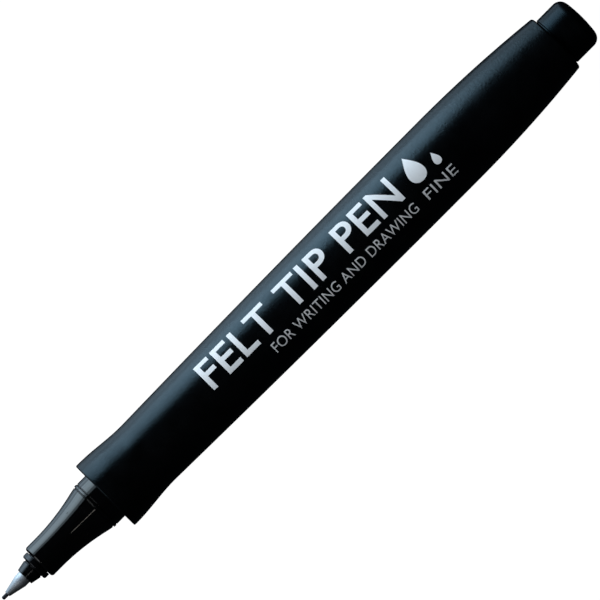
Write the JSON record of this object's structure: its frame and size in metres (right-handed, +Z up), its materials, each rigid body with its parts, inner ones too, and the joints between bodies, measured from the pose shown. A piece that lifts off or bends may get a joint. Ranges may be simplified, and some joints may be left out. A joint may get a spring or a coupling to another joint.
{
  "type": "felt tip marker",
  "caption": "Uncapped fine felt tip marker: bowed matte barrel flared at the fingers, glossy stepped nose with a seal bead, metal-clad nib, rounded end plug.",
  "frame": {"origin": "on the ground under the middle of the marker's length, at the bottom of its box, with the marker lying on its side", "axes": "+X along the marker's axis from the nib to the end plug, +Z up through the printed side of the barrel, +Y towards the tops of the printed letters"},
  "size_m": [0.1232, 0.0126, 0.0127],
  "materials": {
    "barrel": "fine matte moulding, black",
    "gloss_black": "polished, black",
    "nose_black": "satin, black",
    "sleeve_steel": "drawn and turned",
    "nib": "ink-wet porous plastic",
    "wick": "bonded fibre soaked with ink",
    "reservoir": "bonded fibre soaked with ink",
    "film": "thin clear film wrap",
    "breather": "thin translucent straw",
    "plug": "satin, black",
    "print": "silver-white pad-printed ink"
  },
  "bodies": {
    "barrel": {"barrel": "barrel", "reservoir_core": "reservoir", "reservoir_film": "film", "breather_tube": "breather"},
    "nib_unit": {"front_section": "gloss_black", "tip_holder": "nose_black", "metal_sleeve": "sleeve_steel", "nib": "nib", "wick": "wick"},
    "end_plug": {"end_plug": "plug"}
  },
  "joints": [
    {"name": "nib_unit_pull", "type": "slide", "parent": "barrel", "child": "nib_unit", "axis": [-1, 0, 0], "range_m": [0, 0.03]},
    {"name": "end_plug_pull", "type": "slide", "parent": "barrel", "child": "end_plug", "axis": [1, 0, 0], "range_m": [0, 0.02]}
  ]
}
